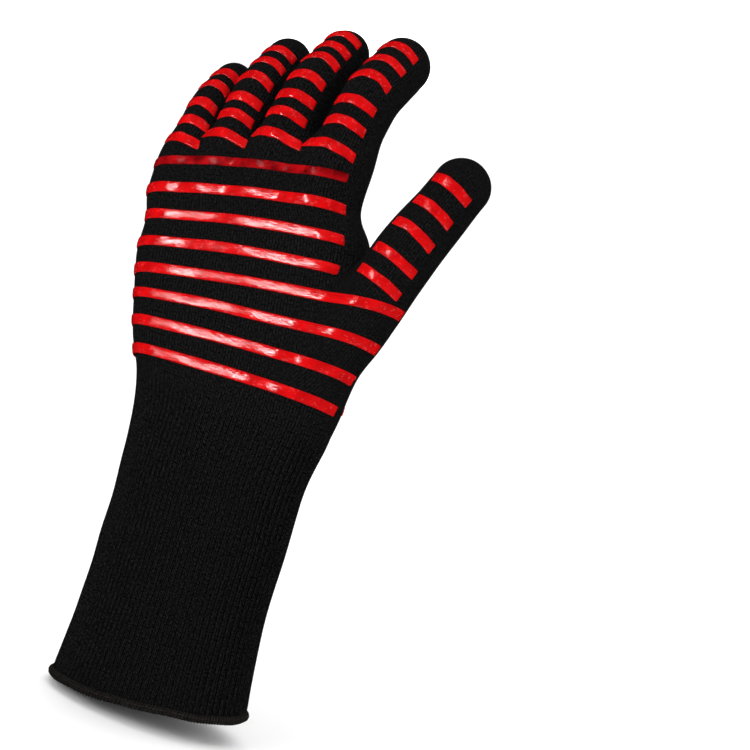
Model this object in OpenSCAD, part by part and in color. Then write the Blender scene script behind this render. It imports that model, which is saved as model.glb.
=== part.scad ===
/* [Cuff] */
// Height of the wrist hinge above the cuff mouth
wrist_z = 140; // [130:1:150]
// Half width of the cuff mouth
mouth_a = 54; // [50:0.5:58]
// Half depth of the cuff mouth
mouth_b = 33; // [30:0.5:36]
// Half width of the cuff at the wrist
wrist_a = 49.5; // [48:0.5:50]
// Half depth of the cuff at the wrist
wrist_b = 25.5; // [24.5:0.5:27]
// Height of the hem
hem_h = 4; // [3:0.5:5]
// Stitches around the hem
stitch_n = 60; // [40:1:72]

/* [Knit] */
// Thickness of the outer knit
wall = 1.6; // [1.4:0.1:1.8]
// Thickness of the liner
liner_t = 0.8; // [0.6:0.1:1]
// Running gap between bodies
gap = 0.5; // [0.4:0.05:0.6]

/* [Hand] */
// Rest bend at the wrist
bend = 12; // [8:1:14]
// Height of the lowest hand strip above the wrist
strip_z0 = 27.5; // [26:0.5:30]
// Spacing of the strips on the back
back_pitch = 15.1; // [14.8:0.1:15.4]
// Spacing of the strips on the palm
palm_pitch = 12.7; // [12:0.1:13]

/* [Silicone] */
// Width of a strip
strip_w = 5.3; // [4.5:0.1:5.6]
// Height of a strip above the knit
strip_t = 0.8; // [0.6:0.1:1]
// Arc of a digit strip on each face
strip_arc = 104; // [90:1:130]

/* [Digits] */
// Rest bend of each finger on the hand
curl_base = 16; // [12:1:20]
// Rest bend of each fingertip on its base
curl_tip = 26; // [20:1:30]

/* [Hidden] */
$fn = 40;
cut_h = 90; // reach of the clearance cuts
margin = 0.8; // clearance between a rim and the body that bends over it
flex_max = 50; // full bend of a digit joint from straight
wrist_low = -13; // limits of the wrist from straight
wrist_high = 32;
skin_gap = 0.2; // between pieces of one body
knuckle_slope = 14.4; // the knuckle line climbs toward the index finger
knuckle_z = 146; // its height at the index finger
loft_more = 30; // straight length above the last row
step_in = wall + gap; // how far a nested body is inside its parent
digit_names = ["thumb", "index", "middle", "ring", "little"];
radius = [16, 13.2, 12.8, 11.8, 10.8];
len_base = [47, 33, 32, 28, 23];
len_tip = [39, 31, 30, 26, 21];
lean = [18, -3.5, -3.5, -3.5, -3.5];
base_strips = [[27, 40], [4, 15, 26], [4, 13, 22.5], [4, 13, 22], [4, 13]];
tip_strips = [[7, 21, 35], [4, 15, 26], [3, 12, 21, 30], [3, 12, 21], [3, 12, 21]];
finger_x = [0, 9, -20, -47, -72];
finger_h = [0, 150, 147, 138, 129];
thumb_p = [54, 10, 210];
thumb_phi = 10.5;
boss_len = 50;
wrist_x = 2; // the wrist sits a little toward the thumb

// rows of height, centre x, half width, half depth
cuff_rows = [[0, 0, mouth_a, mouth_b], [25, 0.5, 51.5, 30], [57, 1, 49.5, 28],
  [90, 1.5, 49.5, 27], [wrist_z, wrist_x, wrist_a, wrist_b]];
hand_rows = [[0, wrist_x, wrist_a - step_in, wrist_b - step_in], [13, 1, 53, 22.5], [35, -3.5, 57.5, 20.5],
  [62, -18, 54.5, 18.5], [95, -25, 56, 17], [124, -29.5, 56, 16.2]];

function dir(phi, b) = [sin(b), cos(b) * sin(phi), cos(b) * cos(phi)];
function phi_base(k) = k == 0 ? thumb_phi : bend + curl_base;
function phi_tip(k) = phi_base(k) + (k == 0 ? 8 : curl_tip);
function pivot(k) = k == 0 ? thumb_p
  : [finger_x[k], finger_h[k] * sin(bend), wrist_z + finger_h[k] * cos(bend)];
function knuckle(k) = pivot(k) + len_base[k] * dir(phi_base(k), lean[k]);
function tip_r(k) = radius[k] - step_in;

module at_hand() { translate([0, 0, wrist_z]) rotate([-bend, 0, 0]) children(); }
module aim(p, phi, b) { translate(p) rotate([-phi, 0, 0]) rotate([0, b, 0]) children(); }
module at_base(k) { aim(pivot(k), phi_base(k), lean[k]) children(); }
module at_tip(k) { aim(knuckle(k), phi_tip(k), lean[k]) children(); }

// everything above the middle plane of a bending body, at one angle
module sweep(p, phi, b, w) {
  aim(p, phi, b) translate([-w, -cut_h / 2, -margin]) cube([2 * w, cut_h, cut_h]);
}
// lofts
module oval(r, off) {
  translate([r[1], 0, r[0]]) scale([r[2] + off, r[3] + off, 1]) cylinder(r = 1, h = 0.01, $fn = 48);
}
module slab(r, off) {
  hull() for (s = [-1, 1])
    translate([r[1] + s * (r[2] - r[3]), 0, r[0]]) cylinder(r = r[3] + off, h = 0.01, $fn = 32);
}
module cuff_loft(off, extra) {
  for (i = [0 : len(cuff_rows) - 2]) hull() {
    oval(cuff_rows[i] - [i == 0 ? extra : 0, 0, 0, 0], off);
    oval(cuff_rows[i + 1], off);
  }
}
module hand_loft(off, extra) {
  last = len(hand_rows) - 1;
  hull() { oval(hand_rows[0], off); slab(hand_rows[1], off); }
  for (i = [1 : last - 1]) hull() {
    slab(hand_rows[i], off);
    slab(hand_rows[i + 1], off);
  }
  if (extra > 0) hull() for (more = [0, extra]) slab(hand_rows[last] + [more, 0, 0, 0], off);
}
module thumb_boss(off) {
  aim(thumb_p, thumb_phi, lean[0]) {
    translate([0, 0, -boss_len]) cylinder(r = radius[0] + step_in + off, h = boss_len);
    translate([0, 0, -boss_len]) sphere(r = radius[0] + step_in + off);
  }
}
module stubs(off, low) {
  at_hand() for (k = [1 : 4])
    translate([finger_x[k], 0, low]) cylinder(r = radius[k] + step_in + off, h = finger_h[k] - low);
}
module wrist_ball(off) {
  at_hand() translate([wrist_x, 0, 0])
    scale([wrist_a - step_in + off, wrist_b - step_in + off, wrist_b - step_in + off]) sphere(r = 1, $fn = 48);
}
module wrist_sweep() {
  for (t = [wrist_low, wrist_high]) sweep([0, 0, wrist_z], t, 0, cut_h);
}
module digit_sweeps() {
  for (k = [1 : 4]) for (t = [0, flex_max])
    sweep(pivot(k), bend + t, lean[k], radius[k] + gap);
  for (t = [0, flex_max]) aim(thumb_p, t, lean[0])
    translate([-radius[0] - gap, -cut_h / 2, -margin]) cube([cut_h, cut_h, cut_h]);
}
module tip_sweep(k) {
  for (t = [0, flex_max]) sweep(knuckle(k), phi_base(k) + t, lean[k], cut_h);
}

// cuff
module cuff_shell() {
  color("dimgray") difference() {
    cuff_loft(0, 0);
    cuff_loft(-wall, 1);
    translate([0, 0, -2]) cube([2 * cut_h, cut_h, 2 * (hem_h + 2)], center = true);
    wrist_sweep();
  }
}
module cuff_liner() {
  color("gray") difference() {
    cuff_loft(-wall - skin_gap, 0);
    cuff_loft(-wall - skin_gap - liner_t, 1);
    translate([0, 0, -2]) cube([2 * cut_h, cut_h, 2 * (hem_h + 4)], center = true);
    translate([-cut_h, -cut_h, wrist_z - wrist_b - 4]) cube(2 * cut_h);
  }
}
module cuff_hem() {
  color("saddlebrown") difference() {
    linear_extrude(height = hem_h - 0.3) scale([mouth_a + 1, mouth_b + 1]) circle(r = 1, $fn = 64);
    translate([0, 0, -1])
      linear_extrude(height = hem_h + 1) scale([mouth_a - wall - 1, mouth_b - wall - 1]) circle(r = 1, $fn = 64);
  }
}
module hem_stitches() {
  color("black") for (i = [0 : stitch_n - 1]) {
    t = 360 * i / stitch_n;
    nx = cos(t) / mouth_a;
    ny = sin(t) / mouth_b;
    translate([(mouth_a + 1.6) * cos(t), (mouth_b + 1.6) * sin(t), hem_h / 2])
      rotate([0, 0, atan2(ny, nx)]) cube([0.7, 1.1, hem_h - 1], center = true);
  }
}

// hand
module hand_shell() {
  color("dimgray") difference() {
    union() {
      difference() {
        at_hand() hand_loft(0, loft_more);
        at_hand() translate([finger_x[1], 0, knuckle_z]) rotate([0, -knuckle_slope, 0])
          translate([-2 * cut_h, -cut_h, 0]) cube([3 * cut_h, 2 * cut_h, cut_h]);
      }
      thumb_boss(0);
      stubs(0, 112);
      wrist_ball(0);
    }
    at_hand() hand_loft(-wall, 1);
    thumb_boss(-wall);
    wrist_ball(-wall);
    at_hand() translate([0, 0, -cut_h / 2 - 17]) cube([2 * cut_h, 2 * cut_h, cut_h], center = true);
    at_hand() for (k = [1 : 4])
      translate([finger_x[k], 0, 120]) cylinder(r = radius[k] + gap, h = 40);
    digit_sweeps();
  }
}
module hand_liner() {
  color("gray") difference() {
    at_hand() hand_loft(-wall - skin_gap, 0);
    at_hand() hand_loft(-wall - skin_gap - liner_t, 1);
    thumb_boss(-wall - skin_gap);
    at_hand() translate([-cut_h, -cut_h, 108]) cube(2 * cut_h);
    at_hand() translate([-cut_h, -cut_h, 14 - 2 * cut_h]) cube(2 * cut_h);
  }
}
module hand_strip(n, side) {
  z = strip_z0 + (8 - n) * (side < 0 ? back_pitch : palm_pitch);
  tilt = 4.5 + (8 - n) * 1.2;
  right = n > 4 ? 80 : 24 - (4 - n) * 1.5;
  color("crimson") difference() {
    intersection() {
      union() {
        at_hand() hand_loft(strip_t, loft_more);
        if (n > 4) thumb_boss(strip_t);
      }
      at_hand() translate([-6, side * 25, z]) rotate([0, -tilt, 0])
        translate([-90, -22, -strip_w / 2]) cube([90 + right, 44, strip_w]);
    }
    at_hand() hand_loft(skin_gap, loft_more);
    thumb_boss(skin_gap);
    stubs(skin_gap, 100);
    digit_sweeps();
  }
}
module back_strip_1() { hand_strip(1, -1); }
module back_strip_2() { hand_strip(2, -1); }
module back_strip_3() { hand_strip(3, -1); }
module back_strip_4() { hand_strip(4, -1); }
module back_strip_5() { hand_strip(5, -1); }
module back_strip_6() { hand_strip(6, -1); }
module back_strip_7() { hand_strip(7, -1); }
module back_strip_8() { hand_strip(8, -1); }
module palm_strip_1() { hand_strip(1, 1); }
module palm_strip_2() { hand_strip(2, 1); }
module palm_strip_3() { hand_strip(3, 1); }
module palm_strip_4() { hand_strip(4, 1); }
module palm_strip_5() { hand_strip(5, 1); }
module palm_strip_6() { hand_strip(6, 1); }
module palm_strip_7() { hand_strip(7, 1); }
module palm_strip_8() { hand_strip(8, 1); }

// digits
module tube(r, low, high, t) {
  difference() {
    translate([0, 0, low]) cylinder(r = r, h = high - low);
    translate([0, 0, low - 1]) cylinder(r = r - t, h = high - low + 2);
  }
}
module ball_end(r, t) {
  difference() {
    sphere(r = r);
    sphere(r = r - t);
    translate([-r, -r, 0]) cube(2 * r);
    translate([-r, -r, -0.72 * r - 2 * r]) cube(2 * r);
  }
}
module cap_end(r, t, h) {
  translate([0, 0, h]) difference() {
    sphere(r = r);
    sphere(r = r - t);
    translate([-r, -r, -2 * r]) cube(2 * r);
  }
}
module band(r, s) {
  for (turn = [0, 180])
    rotate([0, 0, turn - 90 - strip_arc / 2]) rotate_extrude(angle = strip_arc)
      translate([r + skin_gap, s - strip_w / 2]) square([strip_t, strip_w]);
}
module base_shell(k) {
  color("dimgray") difference() {
    at_base(k) union() {
      tube(radius[k], 0, len_base[k], wall);
      ball_end(radius[k], wall);
    }
    tip_sweep(k);
  }
}
module base_liner(k) {
  color("gray") difference() {
    at_base(k) tube(radius[k] - wall - skin_gap, 2, len_base[k], liner_t);
    translate(knuckle(k)) sphere(r = tip_r(k) + gap);
    tip_sweep(k);
  }
}
module base_strips_of(k) {
  color("crimson") difference() {
    at_base(k) for (s = base_strips[k]) band(radius[k], s);
    tip_sweep(k);
  }
}
module tip_shell(k) {
  color("dimgray") at_tip(k) union() {
    tube(tip_r(k), 0, len_tip[k], wall);
    ball_end(tip_r(k), wall);
    cap_end(tip_r(k), wall, len_tip[k]);
  }
}
module tip_liner(k) {
  r = tip_r(k) - wall - skin_gap;
  color("gray") at_tip(k) union() {
    tube(r, 2, len_tip[k], liner_t);
    cap_end(r, liner_t, len_tip[k]);
  }
}
module tip_strips_of(k) {
  color("crimson") at_tip(k) for (s = tip_strips[k]) band(tip_r(k), s);
}
module thumb_base_shell() { base_shell(0); }
module thumb_base_liner() { base_liner(0); }
module thumb_base_strips() { base_strips_of(0); }
module thumb_tip_shell() { tip_shell(0); }
module thumb_tip_liner() { tip_liner(0); }
module thumb_tip_strips() { tip_strips_of(0); }
module index_base_shell() { base_shell(1); }
module index_base_liner() { base_liner(1); }
module index_base_strips() { base_strips_of(1); }
module index_tip_shell() { tip_shell(1); }
module index_tip_liner() { tip_liner(1); }
module index_tip_strips() { tip_strips_of(1); }
module middle_base_shell() { base_shell(2); }
module middle_base_liner() { base_liner(2); }
module middle_base_strips() { base_strips_of(2); }
module middle_tip_shell() { tip_shell(2); }
module middle_tip_liner() { tip_liner(2); }
module middle_tip_strips() { tip_strips_of(2); }
module ring_base_shell() { base_shell(3); }
module ring_base_liner() { base_liner(3); }
module ring_base_strips() { base_strips_of(3); }
module ring_tip_shell() { tip_shell(3); }
module ring_tip_liner() { tip_liner(3); }
module ring_tip_strips() { tip_strips_of(3); }
module little_base_shell() { base_shell(4); }
module little_base_liner() { base_liner(4); }
module little_base_strips() { base_strips_of(4); }
module little_tip_shell() { tip_shell(4); }
module little_tip_liner() { tip_liner(4); }
module little_tip_strips() { tip_strips_of(4); }

cuff_shell();
cuff_liner();
cuff_hem();
hem_stitches();
hand_shell();
hand_liner();
back_strip_1();
back_strip_2();
back_strip_3();
back_strip_4();
back_strip_5();
back_strip_6();
back_strip_7();
back_strip_8();
palm_strip_1();
palm_strip_2();
palm_strip_3();
palm_strip_4();
palm_strip_5();
palm_strip_6();
palm_strip_7();
palm_strip_8();
thumb_base_shell();
thumb_base_liner();
thumb_base_strips();
thumb_tip_shell();
thumb_tip_liner();
thumb_tip_strips();
index_base_shell();
index_base_liner();
index_base_strips();
index_tip_shell();
index_tip_liner();
index_tip_strips();
middle_base_shell();
middle_base_liner();
middle_base_strips();
middle_tip_shell();
middle_tip_liner();
middle_tip_strips();
ring_base_shell();
ring_base_liner();
ring_base_strips();
ring_tip_shell();
ring_tip_liner();
ring_tip_strips();
little_base_shell();
little_base_liner();
little_base_strips();
little_tip_shell();
little_tip_liner();
little_tip_strips();
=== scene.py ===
import math

import bpy
import numpy as np
from mathutils import Matrix, Vector


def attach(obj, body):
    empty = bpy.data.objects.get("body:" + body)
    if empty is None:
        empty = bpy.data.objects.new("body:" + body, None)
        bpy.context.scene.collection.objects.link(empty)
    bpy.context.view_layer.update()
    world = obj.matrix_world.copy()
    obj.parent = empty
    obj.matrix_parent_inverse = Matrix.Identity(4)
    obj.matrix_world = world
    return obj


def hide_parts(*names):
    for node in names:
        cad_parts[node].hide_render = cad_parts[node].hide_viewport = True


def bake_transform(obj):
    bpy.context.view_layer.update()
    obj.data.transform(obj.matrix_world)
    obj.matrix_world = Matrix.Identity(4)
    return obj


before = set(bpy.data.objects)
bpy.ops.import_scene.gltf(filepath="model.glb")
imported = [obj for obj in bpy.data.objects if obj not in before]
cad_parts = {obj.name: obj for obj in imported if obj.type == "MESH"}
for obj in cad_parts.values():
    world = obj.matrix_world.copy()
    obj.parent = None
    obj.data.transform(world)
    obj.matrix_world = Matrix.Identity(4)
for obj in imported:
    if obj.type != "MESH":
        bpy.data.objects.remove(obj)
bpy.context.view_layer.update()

MM = 0.001
rng = np.random.default_rng(7)

# ---------------------------------------------------------------- dimensions, in mm
WRIST_Z = 140.0
BEND = 12.0
BEND_REACH = 20.0  # the wrist bends over this much each way
SHEAR = 0.26  # how fast the knuckle line and the courses climb toward the thumb
SHEAR_X = -6.0
STRIP_SLOPE = {8: 3.4, 7: 4.9, 6: 6.8, 5: 9.2, 4: 10.2, 3: 11, 2: 12.2, 1: 12.9}  # degrees, on the back
STRIP_RIGHT = {8: 66, 7: 70, 6: 74, 5: 80, 4: 34, 3: 30, 2: 25, 1: 19.5}  # x of each strip's thumb end
STRIP_FIRST = {-1: 26.6, 1: 27.5}  # the lowest strip's height above the wrist: back, palm
STRIP_PITCH = {-1: 15.1, 1: 12.7}  # from one strip to the next: back, palm
STRIP_BOW = 3.2  # a strip's middle stands this much above its ends
STRIP_HALF = 2.65
STRIP_HIGH = 0.65
WALES = 172
COURSE = 1.45  # mm from one row of stitches to the next
KNIT_PAINTED_SHADE, KNIT_PAINTED_LIGHT = 0.02, 8.5  # painted shade and painted light: the yarn's own colour is multiplied by these in its folds and on its crests
MOUTH_SLANT = 0.10  # mm the mouth rises for each mm toward the thumb
SLANT_REACH = 70.0  # up the cuff, where the slant has died out
HEM_OUT, HEM_UP = 1.7, 2.0  # the rolled hem's half thickness and half height
HEM_MIDDLE = 2.0  # the roll's own centre line above the mouth
HEM_LOOPS = 172  # overlock loops around the hem
YARN_RADIUS = 0.27
BACK_ARC, PALM_ARC = 51, 43  # degrees each way that a finger strip reaches around
FINGER_ARCH = 1.9  # mm that a finger strip's middle stands toward the fingertip
HAND_OVAL = 19  # half depth of the oval that a hand strip's steps are spaced on
WEB = 9.0  # softness of the crotches
BODY_ROWS = np.array([
    # s, centre x, half width, half depth
    [0, 0, 54.5, 33], [25, 0.8, 51.5, 30], [57, 2, 49.5, 28], [90, 3.2, 49.4, 27],
    [125, 4.2, 50.4, 26], [140, 4.6, 52.2, 25.4], [155, 3.2, 56.5, 24], [175, -1.6, 61.5, 21.5],
    [200, -8, 63, 19.5], [226, -14.8, 62.4, 17.8], [240, -16.8, 61, 17.2], [252, -24.2, 55.2, 16.6],
    [262, -26.8, 54, 16.4], [300, -27.5, 54, 16.4]], float)
CLOSE_AT = 268.0
CLOSE_LEN = 22.0
DIGITS = {
    "thumb": dict(p=(54, 10, 210), phi=10.5, rel=8, r=(17.2, 16.0, 14.6), lb=47, lt=39, lean=18, seam=27,
                  base=(27,), tip=(40, 54, 68, 82), reach=(-4, 18), root=52),
    "index": dict(x=11.2, h=149, r=(15.0, 15.0, 13.8), lb=33, lt=30, lean=-0.6, seam=22,
                  base=(-2, 10), tip=(22, 34, 46, 58)),
    "middle": dict(x=-20.6, h=147, r=(14.4, 13.8, 12.6), lb=32, lt=29, lean=-2.0, seam=18,
                   base=(-3, 7), tip=(17.5, 28, 38.5, 49, 59.5)),
    "ring": dict(x=-48.4, h=139, r=(13.0, 12.6, 11.6), lb=29, lt=28, lean=-2.6, seam=17,
                 base=(-3, 6.5), tip=(16.5, 27, 37, 48)),
    "little": dict(x=-71, h=129, r=(11.5, 11.2, 10.4), lb=23, lt=21, lean=-3.5, seam=13.5,
                   base=(-2, 7.5), tip=(17.5, 27.5, 37.5)),
}
CURL_BASE = 16.0
CURL_TIP = 26.0


def rad(a):
    return a * math.pi / 180.0


def direction(phi, lean):
    return np.array([math.sin(rad(lean)), math.cos(rad(lean)) * math.sin(rad(phi)),
                     math.cos(rad(lean)) * math.cos(rad(phi))])


def smooth(t):
    t = np.clip(t, 0, 1)
    return t * t * (3 - 2 * t)


# ---------------------------------------------------------------- the cuff and hand as one bent tube
def smoothed_rows():
    s = np.arange(-20, 320, 1.0)
    cols = [np.interp(s, BODY_ROWS[:, 0], BODY_ROWS[:, i]) for i in (1, 2, 3)]
    box = np.ones(17) / 17
    out = []
    for c in cols:
        pad = np.pad(c, 8, mode="edge")
        out.append(np.convolve(pad, box, "valid"))
    return s, np.array(out).T


ROW_S, ROW_V = smoothed_rows()
SIN_B, COS_B = math.sin(rad(BEND)), math.cos(rad(BEND))


def row(s):
    return [np.interp(s, ROW_S, ROW_V[:, i]) for i in range(3)]


def half_depth(h):
    b = row(h)[2]
    t = np.clip((h - CLOSE_AT) / CLOSE_LEN, 0, 0.9995)
    return b * np.sqrt(1 - t * t)


def axis_at(s):
    """Point and angle of the body's centre line at length s."""
    fine = np.arange(-30, 330, 0.5)
    ang = rad(BEND) * smooth((fine - WRIST_Z + BEND_REACH) / (2 * BEND_REACH))
    y = np.concatenate([[0], np.cumsum(np.sin(ang[:-1]) * 0.5)])
    z = np.concatenate([[0], np.cumsum(np.cos(ang[:-1]) * 0.5)]) - 30
    # the straight hand's axis passes through the hinge
    end_y = y[-1] - (z[-1] - WRIST_Z) * SIN_B / COS_B
    y = y - end_y * smooth((fine - 40) / 100)
    return np.interp(s, fine, y), np.interp(s, fine, z), np.interp(s, fine, ang)


def to_hand(p):
    q = p - np.array([0, 0, WRIST_Z])
    return np.stack([q[:, 0], q[:, 1] * COS_B - q[:, 2] * SIN_B, q[:, 1] * SIN_B + q[:, 2] * COS_B], 1)


def from_hand(q):
    return np.stack([q[:, 0], q[:, 1] * COS_B + q[:, 2] * SIN_B,
                     -q[:, 1] * SIN_B + q[:, 2] * COS_B + WRIST_Z], 1)


def shear_at(s):
    return SHEAR * smooth((s - 150) / 110)


def hand_field(p):
    q = to_hand(p)
    h = q[:, 2] + WRIST_Z
    for _ in range(3):
        h = q[:, 2] + WRIST_Z - shear_at(h) * (q[:, 0] - SHEAR_X)
    cx, a, b = row(h)
    d = np.hypot(np.maximum(np.abs(q[:, 0] - cx) - (a - b), 0), q[:, 1]) - b
    top = h - (CLOSE_AT + CLOSE_LEN)
    k = 16.0
    w = np.clip(0.5 + 0.5 * (d - top) / k, 0, 1)
    return top * (1 - w) + d * w + k * w * (1 - w)


# ---------------------------------------------------------------- digits
def prepare(d):
    if "p" in d:
        d["pivot"] = np.array(d["p"], float)
        start, rel, lean0 = d["phi"], 0, d["lean"]
    else:
        d["pivot"] = np.array([d["x"], d["h"] * SIN_B, WRIST_Z + d["h"] * COS_B])
        start, rel, lean0 = BEND, CURL_BASE, 0
    phi1 = start + rel
    phi2 = phi1 + d.get("rel", CURL_TIP)
    d["knuckle"] = d["pivot"] + d["lb"] * direction(phi1, d["lean"])
    root = d.get("root", 26)
    s = np.arange(-root, d["lb"] + d["lt"] + 0.01, 0.5)
    phi = start + rel * smooth((s + 7) / 14) + (phi2 - phi1) * smooth((s - d["lb"] + 9) / 18)
    lean = lean0 + (d["lean"] - lean0) * smooth((s + 7) / 14)
    if "p" in d:
        lean = lean + 24 * (1 - smooth((s + root) / (root - 8)))
    t = np.array([direction(a, b) for a, b in zip(phi, lean)])
    c = np.cumsum(t * 0.5, axis=0)
    c += d["pivot"] - c[np.argmin(np.abs(s))]
    total = d["lb"] + d["lt"]
    r0, r1, r2 = d["r"]
    r = np.interp(s, [-root, 0, 0.45 * total, total], [r0 - (3.5 if root > 30 else 0), r0, r1, r2])
    box = np.ones(21) / 21
    r = np.convolve(np.pad(r, 10, mode="edge"), box, "valid")
    d.update(s=s, c=c, t=t, rad=r, total=total, phi1=phi1, phi2=phi2)
    d["reach"] = d.get("reach", (-2, 12))


for item in DIGITS.values():
    prepare(item)


def digit_field(p, d):
    out = np.full(len(p), 1e3)
    for c, r in zip(d["c"][::4], d["rad"][::4]):
        out = np.minimum(out, np.sqrt(((p - c) ** 2).sum(1)) - r)
    return out


def wobble(p):
    """Slow unevenness of a soft knit."""
    x, y, z = p[:, 0], p[:, 1], p[:, 2]
    return (0.28 * np.sin(x / 11.3 + 1.7) * np.sin(z / 17.1 + 0.4) + 0.22 * np.sin(z / 9.2 + x / 23 + 2.1)
            + 0.20 * np.sin(y / 8.3 + z / 13.7) * np.sin(x / 7.9 + 0.6)
            + 0.12 * np.sin(x / 4.1) * np.sin(z / 5.3))


def smin(a, b, k):
    w = np.clip(0.5 + 0.5 * (b - a) / k, 0, 1)
    return b * (1 - w) + a * w - k * w * (1 - w)


def field(p, digits=None):
    names = list(DIGITS) if digits is None else digits
    f = hand_field(p)
    if names:
        g = np.min([digit_field(p, DIGITS[n]) for n in names], axis=0)
        f = smin(f, g, WEB)
    return f - wobble(p)


def gradient(p, digits=None, e=0.4):
    steps = e * np.eye(3)
    g = np.stack([field(p + step, digits) - field(p - step, digits) for step in steps], 1)
    return g / np.maximum(np.linalg.norm(g, axis=1, keepdims=True), 1e-9)


def settle(p, digits, weight, steps=2):
    """Moves points onto the soft surface."""
    for _ in range(steps):
        f = field(p, digits)
        p = p - gradient(p, digits) * (f * weight)[:, None]
    return p


def outermost(o, d, far, digits, n=44):
    """The farthest crossing of the surface along each ray."""
    t = np.linspace(1, 0, n)
    hit = np.zeros(len(o))
    done = np.zeros(len(o), bool)
    for k in t[1:]:
        now = np.full(len(o), far * k, float)
        inside = (field(o + d * now[:, None], digits) < 0) & ~done
        hit[inside] = now[inside]
        done |= inside
        if done.all():
            break
    lo, hi = hit, hit + far / (n - 1)
    for _ in range(9):
        mid = (lo + hi) / 2
        inside = field(o + d * mid[:, None], digits) < 0
        lo, hi = np.where(inside, mid, lo), np.where(inside, hi, mid)
    return o + d * ((lo + hi) / 2)[:, None]


# ---------------------------------------------------------------- meshes
def grid_mesh(name, pts, uv, closed, cap_start=False, cap_end=False, material=None):
    """pts is rings x around x 3, in mm."""
    n, m = pts.shape[:2]
    verts = (pts.reshape(-1, 3) * MM).tolist()
    faces, loops = [], []
    span = m if closed else m - 1
    for i in range(n - 1):
        for j in range(span):
            k = (j + 1) % m
            faces.append((i * m + j, i * m + k, (i + 1) * m + k, (i + 1) * m + j))
            u0, u1 = uv[i, j, 0], (uv[i, j + 1, 0] if j + 1 < uv.shape[1] else uv[i, k, 0])
            loops += [(u0, uv[i, j, 1]), (u1, uv[i, k, 1]), (u1, uv[i + 1, k, 1]), (u0, uv[i + 1, j, 1])]
    for flag, i in ((cap_start, 0), (cap_end, n - 1)):
        if flag:
            faces.append(tuple(i * m + j for j in (range(m) if i else range(m - 1, -1, -1))))
            loops += [(0, 0)] * m
    me = bpy.data.meshes.new(name)
    me.from_pydata(verts, [], faces)
    layer = me.uv_layers.new(name="knit")
    layer.data.foreach_set("uv", np.array(loops, float).ravel())
    me.update()
    me.shade_smooth()
    o = bpy.data.objects.new(name, me)
    bpy.context.scene.collection.objects.link(o)
    if material:
        me.materials.append(material)
    return o


def join(name, objs):
    for o in bpy.context.selected_objects:
        o.select_set(False)
    with bpy.context.temp_override(active_object=objs[0], selected_editable_objects=objs, object=objs[0]):
        bpy.ops.object.join()
    objs[0].name = name
    return objs[0]


def oval(a, b, m):
    t = np.linspace(0, 2 * np.pi, 721)
    p = np.stack([a * np.cos(t), b * np.sin(t)], 1)
    return even(p, m)


def stadium(a, b, m):
    t = np.linspace(-np.pi / 2, np.pi / 2, 181)
    right = np.stack([a - b + b * np.cos(t), b * np.sin(t)], 1)
    p = np.concatenate([right, -right, right[:1]])
    k = len(right) // 2
    p = np.concatenate([p[k:-1], p[:k + 1]])
    return even(p, m)


def even(p, m):
    seg = np.concatenate([[0], np.cumsum(np.linalg.norm(np.diff(p, axis=0), axis=1))])
    at = np.linspace(0, seg[-1], m, endpoint=False)
    return np.stack([np.interp(at, seg, p[:, i]) for i in range(2)], 1)


def node(nt, kind, **inputs):
    n = nt.nodes.new(kind)
    for k, v in inputs.items():
        if hasattr(n, k) and k not in n.inputs:
            setattr(n, k, v)
        else:
            n.inputs[k].default_value = v
    return n


def math_node(nt, op, a, b=None, clamp=False):
    n = nt.nodes.new("ShaderNodeMath")
    n.operation = op
    n.use_clamp = clamp
    for i, v in enumerate((a, b)):
        if v is None:
            continue
        if isinstance(v, (int, float)):
            n.inputs[i].default_value = v
        else:
            nt.links.new(v, n.inputs[i])
    return n.outputs[0]


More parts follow.
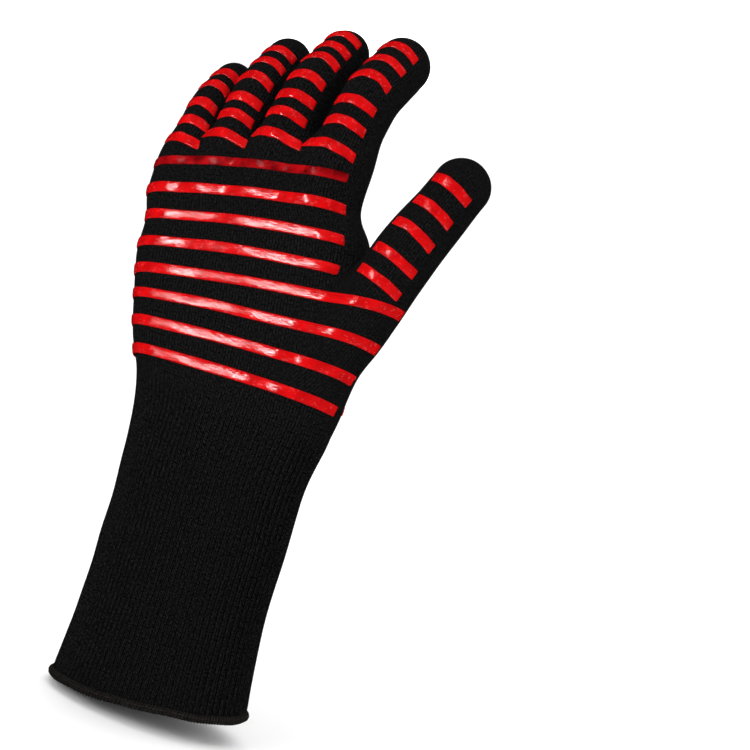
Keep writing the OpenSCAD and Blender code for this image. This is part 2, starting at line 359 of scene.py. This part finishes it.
def knit_material(name, color, fuzz=1.0):
    mat = bpy.data.materials.new(name)
    mat.use_nodes = True
    nt = mat.node_tree
    bsdf = nt.nodes["Principled BSDF"]
    bsdf.inputs["Roughness"].default_value = 0.7
    bsdf.inputs["Specular IOR Level"].default_value = 0.06
    bsdf.inputs["Sheen Weight"].default_value = 0.004 * fuzz
    bsdf.inputs["Sheen Roughness"].default_value = 0.45
    bsdf.inputs["Sheen Tint"].default_value = (0.55, 0.55, 0.6, 1)
    uvn = nt.nodes.new("ShaderNodeUVMap")
    uvn.uv_map = "knit"
    sep = nt.nodes.new("ShaderNodeSeparateXYZ")
    nt.links.new(uvn.outputs[0], sep.inputs[0])
    noise = node(nt, "ShaderNodeTexNoise", Scale=0.35, Detail=3.0)
    nt.links.new(uvn.outputs[0], noise.inputs["Vector"])
    jitter = math_node(nt, "MULTIPLY", math_node(nt, "SUBTRACT", noise.outputs[0], 0.5), 0.5)
    u = math_node(nt, "ADD", sep.outputs[0], jitter)
    v = math_node(nt, "ADD", sep.outputs[1], jitter)
    a = math_node(nt, "ABSOLUTE", math_node(nt, "SUBTRACT", math_node(nt, "FRACT", u), 0.5))
    slant = math_node(nt, "MULTIPLY", a, 1.3)
    ph = math_node(nt, "MULTIPLY", math_node(nt, "SUBTRACT", v, slant), math.pi)
    course = math_node(nt, "ABSOLUTE", math_node(nt, "SINE", ph))
    leg = math_node(nt, "SUBTRACT", 1.0, math_node(nt, "POWER", math_node(nt, "ABSOLUTE", math_node(
        nt, "MULTIPLY", math_node(nt, "SUBTRACT", a, 0.25), 4.0)), 2.0), True)
    h = math_node(nt, "MULTIPLY", leg, math_node(nt, "ADD", math_node(nt, "MULTIPLY", course, 0.6), 0.4))
    fibre = node(nt, "ShaderNodeTexNoise", Scale=9.0, Detail=4.0)
    nt.links.new(uvn.outputs[0], fibre.inputs["Vector"])
    # loose yarn: uneven from stitch to stitch, with a groove between neighbouring wales. This height drives the
    # bump and also the colour, as painted shade in grooves and low stitches and painted light on crests
    grain = node(nt, "ShaderNodeTexNoise", Scale=1.25, Detail=2.0, Roughness=0.6)
    nt.links.new(uvn.outputs[0], grain.inputs["Vector"])
    uneven = math_node(nt, "MULTIPLY", math_node(nt, "SUBTRACT", grain.outputs[0], 0.38), 4.2, True)
    groove = math_node(nt, "SUBTRACT", 1.0, math_node(nt, "MULTIPLY", math_node(nt, "POWER", math_node(
        nt, "MULTIPLY", a, 2.0), 3.0), 0.8))
    stitch = math_node(nt, "ADD", math_node(nt, "MULTIPLY", h, 0.45), math_node(nt, "MULTIPLY", uneven, 0.55))
    hh = math_node(nt, "ADD", math_node(nt, "MULTIPLY", stitch, groove),
                   math_node(nt, "MULTIPLY", fibre.outputs[0], 0.12))
    bump = nt.nodes.new("ShaderNodeBump")
    bump.inputs["Strength"].default_value = 1.0
    bump.inputs["Distance"].default_value = 0.0015
    nt.links.new(hh, bump.inputs["Height"])
    nt.links.new(bump.outputs[0], bsdf.inputs["Normal"])
    # painted shade and painted light: the stitch height turns the yarn's colour dark in folds and grooves and
    # light on crests
    ramp = nt.nodes.new("ShaderNodeValToRGB")
    ramp.color_ramp.elements[0].position = 0.1
    ramp.color_ramp.elements[0].color = (*[c * KNIT_PAINTED_SHADE for c in color], 1)
    ramp.color_ramp.elements[1].position = 1.0
    ramp.color_ramp.elements[1].color = (*[c * KNIT_PAINTED_LIGHT for c in color], 1)
    nt.links.new(math_node(nt, "MULTIPLY", hh, 0.8), ramp.inputs[0])
    nt.links.new(ramp.outputs[0], bsdf.inputs["Base Color"])
    return mat


def silicone_material(name, color, dark, gloss=1.0):
    mat = bpy.data.materials.new(name)
    mat.use_nodes = True
    nt = mat.node_tree
    bsdf = nt.nodes["Principled BSDF"]
    bsdf.inputs["Specular IOR Level"].default_value = 0.45 * gloss
    bsdf.inputs["Coat Roughness"].default_value = 0.06
    uvn = nt.nodes.new("ShaderNodeUVMap")
    uvn.uv_map = "knit"
    fine = node(nt, "ShaderNodeTexNoise", Scale=0.9, Detail=2.0, Roughness=0.55)
    big = node(nt, "ShaderNodeTexNoise", Scale=0.14, Detail=2.0)
    for n in (fine, big):
        nt.links.new(uvn.outputs[0], n.inputs["Vector"])
    h = math_node(nt, "ADD", fine.outputs[0], math_node(nt, "MULTIPLY", big.outputs[0], 2.4))
    bump = nt.nodes.new("ShaderNodeBump")
    bump.inputs["Strength"].default_value = 0.4
    bump.inputs["Distance"].default_value = 0.0006
    nt.links.new(h, bump.inputs["Height"])
    nt.links.new(bump.outputs[0], bsdf.inputs["Normal"])
    nt.links.new(bump.outputs[0], bsdf.inputs["Coat Normal"])
    # the print is glossy in patches where it lies flat on the yarn and duller where the stitches show through
    patch = node(nt, "ShaderNodeTexNoise", Scale=0.3, Detail=5.0, Roughness=0.75)
    nt.links.new(uvn.outputs[0], patch.inputs["Vector"])
    dull = math_node(nt, "MULTIPLY", math_node(nt, "SUBTRACT", patch.outputs[0], 0.53), 9.0, True)
    nt.links.new(math_node(nt, "ADD", math_node(nt, "MULTIPLY", dull, 0.38), 0.10), bsdf.inputs["Roughness"])
    nt.links.new(math_node(nt, "MULTIPLY", math_node(nt, "SUBTRACT", 1.0, dull), 0.6 * gloss),
                 bsdf.inputs["Coat Weight"])
    # the print's tone varies at random between these; in the knuckle strip's red the dark end is deeper, as
    # painted shade
    ramp = nt.nodes.new("ShaderNodeValToRGB")
    ramp.color_ramp.elements[0].position = 0.35
    ramp.color_ramp.elements[1].position = 0.62
    ramp.color_ramp.elements[0].color = (*[c * dark for c in color], 1)
    ramp.color_ramp.elements[1].color = (*color, 1)
    nt.links.new(big.outputs[0], ramp.inputs[0])
    nt.links.new(ramp.outputs[0], bsdf.inputs["Base Color"])
    return mat


KNIT = knit_material("black_knit", (0.0027, 0.0027, 0.0028))
LINER = knit_material("liner_knit", (0.014, 0.014, 0.015))
HEM = knit_material("hem_knit", (0.0056, 0.0048, 0.0044), fuzz=2.0)
THREAD = knit_material("thread", (0.014, 0.0118, 0.0098), fuzz=2.0)
RED = silicone_material("red_silicone", (0.56, 0.003, 0.004), 0.75)
# a darker, duller copy of the red print for the knuckle strip: painted shade for the fold's shadow it lies in
SHADED_RED = silicone_material("shaded_red_silicone", (0.32, 0.003, 0.005), 0.3, gloss=0.12)


# ---------------------------------------------------------------- cuff and hand
def slant(x, s):
    """The mouth hangs lower on the little finger's side; it dies out up the cuff."""
    return MOUTH_SLANT * x * (1 - smooth(s / SLANT_REACH))


def body_tube(name, s_values, inset, m, ribs, material):
    rings, uvs = [], []
    for s in s_values:
        cx, a, b = row(s)
        b = float(half_depth(s))
        a, b = a - inset, max(b - inset, 0.4)
        mix = float(smooth((s - 138) / 40))
        sec = oval(a, b, m) * (1 - mix) + stadium(a, min(b, a - 1), m) * mix
        arc = np.arange(m) / m
        nrm = np.stack([sec[:, 0] / a ** 2, sec[:, 1] / b ** 2], 1)
        nrm /= np.linalg.norm(nrm, axis=1, keepdims=True)
        amp = ribs * (1 - float(smooth((s - 146) / 14))) * float(smooth((s - 1) / 5))
        sec = sec + nrm * (amp * (np.abs(np.cos(np.pi * arc * WALES / 2)) - 0.6))[:, None]
        x = sec[:, 0] + cx
        sh = s + shear_at(s) * (x - SHEAR_X)
        y0, z0, ang = axis_at(sh)
        p = np.stack([x, y0 + sec[:, 1] * np.cos(ang), z0 - sec[:, 1] * np.sin(ang) + slant(x, s)], 1)
        rings.append(p)
        u = np.concatenate([arc, [1.0]]) * WALES
        uvs.append(np.stack([u, np.full(m + 1, s / COURSE)], 1))
    pts, uv = np.array(rings), np.array(uvs)
    flat = pts.reshape(-1, 3)
    lift = wobble(flat).reshape(pts.shape[:2])
    centre = pts.mean(1, keepdims=True)
    out = pts - centre
    out /= np.linalg.norm(out, axis=2, keepdims=True)
    s_grid = np.repeat(np.array(s_values)[:, None], m, 1)
    low = smooth((s_grid - 6) / 20) * (1 - smooth((s_grid - 150) / 30))
    pts = pts + out * (lift * low)[:, :, None]
    if inset == 0:
        w = smooth((s_grid - 155) / 30).ravel()
        sel = w > 0.001
        flat = pts.reshape(-1, 3).copy()
        q = flat[sel]
        inside = np.min([digit_field(q, d) for d in DIGITS.values()], axis=0)
        keep = np.where(inside < -3, 0, 1.0)
        flat[sel] = settle(q, None, w[sel] * keep)
        pts = flat.reshape(pts.shape)
    return grid_mesh(name, pts, uv, True, cap_end=True, material=material)


s_out = np.concatenate([np.arange(0.6, 150, 2.2), np.arange(150, CLOSE_AT, 1.5),
                        CLOSE_AT + CLOSE_LEN * np.sin(np.linspace(0, np.pi / 2, 16))])
skin = body_tube("glove_body_knit", s_out, 0.0, 516, 1.0, KNIT)
s_in = np.arange(1.5, 250, 5.0)
liner = body_tube("glove_body_liner", s_in, 2.6, 172, 0.25, LINER)
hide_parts("cuff_shell", "hand_shell")
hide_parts("cuff_liner", "hand_liner")


def tube_along(name, path, radius_a, radius_b, m, material):
    """A closed loop swept with an oval section: radius_a outward, radius_b up."""
    n = len(path)
    nxt = np.roll(path, -1, 0) - np.roll(path, 1, 0)
    t = nxt / np.linalg.norm(nxt, axis=1, keepdims=True)
    up = np.array([0, 0, 1.0])
    out = np.cross(t, up)
    out /= np.linalg.norm(out, axis=1, keepdims=True)
    a = np.linspace(0, 2 * np.pi, m, endpoint=False)
    rings = path[:, None] + out[:, None] * (radius_a * np.cos(a))[None, :, None] + up * (
        radius_b * np.sin(a))[None, :, None]
    rings = np.concatenate([rings, rings[:1]])
    uv = np.zeros((n + 1, m + 1, 2))
    uv[..., 0] = np.linspace(0, 8, m + 1)[None]
    uv[..., 1] = np.linspace(0, WALES, n + 1)[:, None]
    return grid_mesh(name, rings, uv, True, material=material)


def hem():
    t = np.linspace(0, 2 * np.pi, 344, endpoint=False)
    a, b = ROW_V[np.argmin(np.abs(ROW_S)), 1] + 0.2, ROW_V[np.argmin(np.abs(ROW_S)), 2] + 0.2
    wave = 0.25 * np.sin(t * 5 + 1) + 0.15 * np.sin(t * 11)
    path = np.stack([(a - 0.4) * np.cos(t), (b - 0.4) * np.sin(t), HEM_MIDDLE + wave], 1)
    path[:, 2] += slant(path[:, 0], HEM_MIDDLE)
    o = tube_along("cuff_hem_roll", path, HEM_OUT, HEM_UP, 16, HEM)
    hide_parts("cuff_hem")
    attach(o, "cuff")
    # overlock loops across the outside of the roll
    verts, faces, uvs = [], [], []
    seg, side = 7, 6
    for i in range(HEM_LOOPS):
        t0 = 2 * np.pi * i / HEM_LOOPS + rng.uniform(-0.004, 0.004)
        line = []
        for j in range(seg):
            k = j / (seg - 1)
            g = -0.62 * np.pi + 1.30 * np.pi * k
            tt = t0 + 0.016 * k
            w = 0.25 * np.sin(tt * 5 + 1) + 0.15 * np.sin(tt * 11)
            ox, oz = (HEM_OUT + 0.16) * np.cos(g), (HEM_UP + 0.16) * np.sin(g)
            nn = np.array([np.cos(tt) / a, np.sin(tt) / b])
            nn /= np.linalg.norm(nn)
            lx = (a - 0.4) * np.cos(tt)
            ly = (b - 0.4) * np.sin(tt)
            lz = HEM_MIDDLE + w + slant(lx, HEM_MIDDLE)
            line.append((lx + nn[0] * ox, ly + nn[1] * ox, lz + oz))
        line = np.array(line)
        d = np.gradient(line, axis=0)
        d /= np.linalg.norm(d, axis=1, keepdims=True)
        e1 = np.cross(d, [np.cos(t0 + 1.57), np.sin(t0 + 1.57), 0])
        e1 /= np.linalg.norm(e1, axis=1, keepdims=True)
        e2 = np.cross(d, e1)
        base = len(verts)
        for j in range(seg):
            for q in range(side):
                an = 2 * np.pi * q / side
                verts.append((line[j] + YARN_RADIUS * (np.cos(an) * e1[j] + np.sin(an) * e2[j])) * MM)
        for j in range(seg - 1):
            for q in range(side):
                r = (q + 1) % side
                faces.append((base + j * side + q, base + j * side + r, base + (j + 1) * side + r,
                              base + (j + 1) * side + q))
                uvs += [(q, j), (q + 1, j), (q + 1, j + 1), (q, j + 1)]
        for ring in (0, seg - 1):
            order = range(side) if ring else range(side - 1, -1, -1)
            faces.append(tuple(base + ring * side + q for q in order))
            uvs += [(0, 0)] * side
    me = bpy.data.meshes.new("hem_overlock")
    me.from_pydata([tuple(v) for v in verts], [], faces)
    me.uv_layers.new(name="knit").data.foreach_set("uv", np.array(uvs, float).ravel())
    me.shade_smooth()
    me.materials.append(THREAD)
    s = bpy.data.objects.new("hem_overlock", me)
    bpy.context.scene.collection.objects.link(s)
    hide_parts("hem_stitches")
    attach(s, "cuff")


hem()


# ---------------------------------------------------------------- digits
def frames(d, s):
    c = np.stack([np.interp(s, d["s"], d["c"][:, i]) for i in range(3)], 1)
    t = np.stack([np.interp(s, d["s"], d["t"][:, i]) for i in range(3)], 1)
    t /= np.linalg.norm(t, axis=1, keepdims=True)
    e1 = np.array([1.0, 0, 0]) - t * t[:, :1]
    e1 /= np.linalg.norm(e1, axis=1, keepdims=True)
    return c, t, e1, np.cross(t, e1), np.interp(s, d["s"], d["rad"])


def digit_piece(name, digit, s, node_names):
    d = DIGITS[digit]
    m = 120
    wales = 4 * round(2 * math.pi * d["r"][1] / 1.5 / 4)
    c, t, e1, e2, r = frames(d, np.minimum(s, d["total"]))
    over = np.clip((s - d["total"]) / r, 0, 0.9995)
    c = c + t * np.maximum(s - d["total"], 0)[:, None]
    rr = r * np.sqrt(1 - over ** 2)
    a = np.linspace(0, 2 * np.pi, m, endpoint=False)
    around = np.cos(a)[None, :, None] * e1[:, None] + np.sin(a)[None, :, None] * e2[:, None]
    pts = c[:, None] + rr[:, None, None] * around
    flat = pts.reshape(-1, 3)
    depth = hand_field(flat)
    w = np.where(depth < -5, 0.0, 1.0)
    flat = settle(flat, [digit], w, 2)
    pts = flat.reshape(pts.shape)
    uv = np.zeros((len(s), m + 1, 2))
    uv[..., 0] = np.linspace(0, wales, m + 1)[None]
    uv[..., 1] = (s / COURSE)[:, None]
    o = grid_mesh(name, pts, uv, True, cap_end=s[-1] > d["total"], material=KNIT)
    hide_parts(*node_names)
    return o


def root_line(d):
    t = direction(BEND if "x" in d else d["phi"], 0 if "x" in d else d["lean"])
    t2 = direction(d["phi1"], d["lean"])
    mid = (t + t2) / np.linalg.norm(t + t2)
    return d["pivot"] + mid * d["reach"][0], d["pivot"] + mid * d["reach"][1]


def tip_line(d):
    t = direction(d["phi1"], d["lean"]) + direction(d["phi2"], d["lean"])
    t /= np.linalg.norm(t)
    return d["knuckle"] - t * 8, d["knuckle"] + t * 9


def to_m(p):
    return Vector([float(v) * MM for v in p])


# across a strip: place across its half width and height above the knit
PROFILE = [(-1.0, -0.35), (-1.0, 0.25), (-0.93, 0.62), (-0.75, 0.85), (-0.4, 0.97), (0, 1.0), (0.4, 0.97),
           (0.75, 0.85), (0.93, 0.62), (1.0, 0.25), (1.0, -0.35)]


def band_rows(strip_id, n):
    r = np.random.default_rng(100 + strip_id)
    k = np.arange(n) / max(n - 1, 1)
    wave = sum(r.uniform(-1, 1) * np.sin(k * f + r.uniform(0, 6)) for f in (4, 9, 17))
    return wave


def band_from_rays(name, origins, dirs, ups, far, digits, strip_id, half, high, material):
    """origins, dirs, ups: n x 3. ups is the way across the strip."""
    n = len(origins)
    k = np.arange(n)
    end = np.minimum(k, n - 1 - k)
    tall = np.where(end == 0, -0.4, np.where(end == 1, 0.75, 1.0))
    taper = np.where(end == 0, 0.90, np.where(end == 1, 0.97, 1.0))
    edge = 1 + 0.035 * band_rows(strip_id + 50, n)
    rows = []
    for w, h in PROFILE:
        o = origins + ups * (w * half * taper * edge)[:, None]
        p = outermost(o, dirs, far, digits)
        g = gradient(p, digits)
        lift = np.minimum(h, tall) * high
        rows.append(p + g * lift[:, None])
    pts = np.array(rows).transpose(1, 0, 2)
    seg = np.concatenate([[0], np.cumsum(np.linalg.norm(np.diff(pts[:, 5], axis=0), axis=1))])
    uv = np.zeros((n, len(PROFILE), 2))
    uv[..., 0] = (seg + 37.3 * strip_id)[:, None]
    uv[..., 1] = np.array([w * half for w, _ in PROFILE])[None]
    return grid_mesh(name, pts, uv, False, material=material)


def hand_band(n, side):
    z = STRIP_FIRST[side] + (8 - n) * STRIP_PITCH[side]
    slope = math.tan(rad(STRIP_SLOPE[n] if side < 0 else 4.5 + (8 - n) * 1.2))
    x_right = STRIP_RIGHT[n]
    h_mid = z + WRIST_Z
    cx, a, _ = [float(v) for v in row(h_mid)]
    hi = 150 if n > 4 else 96
    t = np.linspace(0, 1, hi)
    # angle about the hand's middle plane, from the little finger's edge to the thumb's side
    x_line = np.linspace(cx - a + 0.6, min(x_right, cx + a - 3), 60)
    ca = np.clip((x_line - cx) / a, -0.999, 0.999)
    ang0, ang1 = math.acos(ca[0]), math.acos(ca[-1])
    if n > 4:
        ang1 = rad(5 if side < 0 else 36)
    # even steps along an oval of the section's size
    fine = np.linspace(ang0, ang1, 400)
    ell = np.stack([a * np.cos(fine), HAND_OVAL * np.sin(fine)], 1)
    seg = np.concatenate([[0], np.cumsum(np.linalg.norm(np.diff(ell, axis=0), axis=1))])
    ang = np.interp(t * seg[-1], seg, fine)
    d = np.stack([a * np.cos(ang), side * HAND_OVAL * np.sin(ang), slope * a * np.cos(ang)], 1)
    d /= np.linalg.norm(d, axis=1, keepdims=True)
    wave = 0.16 * band_rows(n + (20 if side > 0 else 0), hi)
    bow = STRIP_BOW * (1 - (2 * t - 1) ** 2) - STRIP_BOW / 2
    o = np.tile([cx, 0, z + slope * (cx - SHEAR_X)], (hi, 1)) + np.stack([0 * wave, 0 * wave, wave + bow], 1)
    zero = from_hand(np.zeros((1, 3)))
    dirs = from_hand(d) - zero
    ups = np.tile(from_hand(np.array([[0, 0, 1.0]])) - zero, (hi, 1))
    knuckle = n == 1 and side < 0
    name = f"{'back' if side < 0 else 'palm'}_band_{n}"
    digits = ["thumb"] if n > 4 else [k for k in DIGITS if k != "thumb"]
    # the knuckle strip is narrower and takes the red with painted shade
    b = band_from_rays(name, from_hand(o), dirs, ups, 112, digits, n + (20 if side > 0 else 0),
                       STRIP_HALF * (0.86 if knuckle else 1), STRIP_HIGH, SHADED_RED if knuckle else RED)
    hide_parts(f"{'back' if side < 0 else 'palm'}_strip_{n}")
    if n in (5, 6):
        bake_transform(b)
    else:
        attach(b, "hand")


def digit_bands(digit, which, line, node_name):
    d = DIGITS[digit]
    objs = []
    n = 40
    for i, s0 in enumerate(d[which]):
        for face in (-1, 1):
            half_arc = rad(BACK_ARC if face < 0 else PALM_ARC)
            mid = rad(90 * face) + rad(12 if digit == "thumb" else 2)
            if (digit, which, face) == ("thumb", "base", 1):
                # beside the web there is room for a short strip only
                half_arc, mid = rad(26), mid - rad(17)
            ang = np.linspace(mid - half_arc, mid + half_arc, n)
            # on the back the strip arches toward the fingertip
            arch = FINGER_ARCH * np.cos((ang - mid) / half_arc * math.pi / 2)
            sid = 200 + list(DIGITS).index(digit) * 40 + i * 4 + (20 if which == "tip" else 0) + face
            s = s0 + arch * (1 if face < 0 else -0.3) + 0.12 * band_rows(sid, n)
            c, t, e1, e2, r = frames(d, np.minimum(s, d["total"]))
            dirs = np.cos(ang)[:, None] * e1 + np.sin(ang)[:, None] * e2
            c = c + t * np.maximum(s - d["total"], 0)[:, None]
            objs.append(band_from_rays(f"{digit}_{which}_{i}_{face}", c, dirs, t, 34, [digit], sid,
                                       STRIP_HALF, STRIP_HIGH, RED))
    o = join(f"{digit}_{which}_bands", objs)
    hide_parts(node_name)
    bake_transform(o)


for digit, d in DIGITS.items():
    first, last = d["s"][0], d["total"]
    base_b, tip_b = f"{digit}_base", f"{digit}_tip"
    s_root = np.append(np.arange(first, d["seam"], 1.2), d["seam"])
    round_end = last + d["rad"][-1] * np.sin(np.linspace(0, np.pi / 2, 14))
    s_tip = np.concatenate([np.arange(d["seam"], last, 1.2), round_end])
    root = digit_piece(f"{digit}_root_knit", digit, s_root, [f"{base_b}_shell", f"{base_b}_liner"])
    tip = digit_piece(f"{digit}_tip_knit", digit, s_tip, [f"{tip_b}_shell", f"{tip_b}_liner"])
    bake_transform(root)
    [to_m(p) for p in tip_line(d)]
    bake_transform(tip)
    digit_bands(digit, "base", root_line(d), f"{base_b}_strips")
    digit_bands(digit, "tip", tip_line(d), f"{tip_b}_strips")

for number in range(1, 9):
    for face in (-1, 1):
        hand_band(number, face)

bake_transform(skin)
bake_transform(liner)

# ---------------------------------------------------------------- floor, light and camera
def plain(name, color, rough):
    mat = bpy.data.materials.new(name)
    mat.use_nodes = True
    b = mat.node_tree.nodes["Principled BSDF"]
    b.inputs["Base Color"].default_value = (*color, 1)
    b.inputs["Roughness"].default_value = rough
    b.inputs["Specular IOR Level"].default_value = 0.1
    return mat


me = bpy.data.meshes.new("floor")
F = 30.0
me.from_pydata([(-F, -F, -0.008), (F, -F, -0.008), (F, F, -0.008), (-F, F, -0.008)], [], [(0, 1, 2, 3)])
me.materials.append(plain("floor_white", (0.93, 0.93, 0.93), 0.9))
floor = bpy.data.objects.new("floor", me)
bpy.context.scene.collection.objects.link(floor)

world = bpy.data.worlds.new("studio")
world.use_nodes = True
world.node_tree.nodes["Background"].inputs[0].default_value = (1, 1, 1, 1)
world.node_tree.nodes["Background"].inputs[1].default_value = 0.35
bpy.context.scene.world = world
bpy.context.scene.view_settings.view_transform = "Standard"


def lamp(name, where, at, size, power, tilt=0.0, mirrored=True):
    data = bpy.data.lights.new(name, "AREA")
    data.shape = "RECTANGLE"
    data.size, data.size_y = size
    data.energy = power
    o = bpy.data.objects.new(name, data)
    o.location = where
    aimed = (Vector(at) - Vector(where)).to_track_quat("-Z", "Y").to_matrix()
    o.rotation_euler = (aimed @ Matrix.Rotation(tilt, 3, "Z")).to_euler()
    o.visible_glossy = mirrored
    bpy.context.scene.collection.objects.link(o)


# a narrow leaning key draws the broken streak down the strips; the rest is even light that isn't mirrored,
# which keeps the red and the black deep
lamp("key", (-0.60, -1.12, 0.5), (-0.01, 0, 0.2), (0.05, 0.62), 3.6, tilt=rad(35))
lamp("fill", (-0.5, -1.3, 0.9), (-0.01, 0, 0.2), (0.8, 0.8), 11, mirrored=False)
lamp("side", (1.3, -0.6, 0.5), (0, 0, 0.2), (0.3, 0.8), 5, mirrored=False)
lamp("top", (0, 0.2, 3.0), (0, 0.2, 0), (5, 5), 90, mirrored=False)
floor.visible_glossy = False
world.cycles_visibility.glossy = False

me = bpy.data.meshes.new("backdrop")
me.from_pydata([(-6, 3, -0.1), (6, 3, -0.1), (6, 3, 6), (-6, 3, 6)], [], [(0, 1, 2, 3)])
glow = plain("backdrop_white", (0.9, 0.9, 0.9), 1.0)
glow.node_tree.nodes["Principled BSDF"].inputs["Emission Color"].default_value = (1, 1, 1, 1)
glow.node_tree.nodes["Principled BSDF"].inputs["Emission Strength"].default_value = 1.0
me.materials.append(glow)
wall = bpy.data.objects.new("backdrop", me)
bpy.context.scene.collection.objects.link(wall)
wall.visible_glossy = False

AZ, EL, ROLL = rad(28), rad(10), rad(15)
AIM_RIGHT, AIM_UP = 0.114, 0.1605  # metres from the middle of the cuff's mouth to the view's centre
DIST, LENS = 1.9, 182.4
cam_data = bpy.data.cameras.new("camera")
cam_data.lens = LENS
cam_data.sensor_width = 36.0
cam = bpy.data.objects.new("camera", cam_data)
bpy.context.scene.collection.objects.link(cam)
back = Vector((math.sin(AZ) * math.cos(EL), -math.cos(AZ) * math.cos(EL), math.sin(EL)))
right0 = Vector((math.cos(AZ), math.sin(AZ), 0))
up0 = back.cross(right0)
right = right0 * math.cos(ROLL) + up0 * math.sin(ROLL)
up = -right0 * math.sin(ROLL) + up0 * math.cos(ROLL)
aim = right * AIM_RIGHT + up * AIM_UP
cam.matrix_world = Matrix(((right.x, up.x, back.x, 0), (right.y, up.y, back.y, 0), (right.z, up.z, back.z, 0),
                           (0, 0, 0, 1)))
cam.location = aim + back * DIST
bpy.context.scene.camera = cam
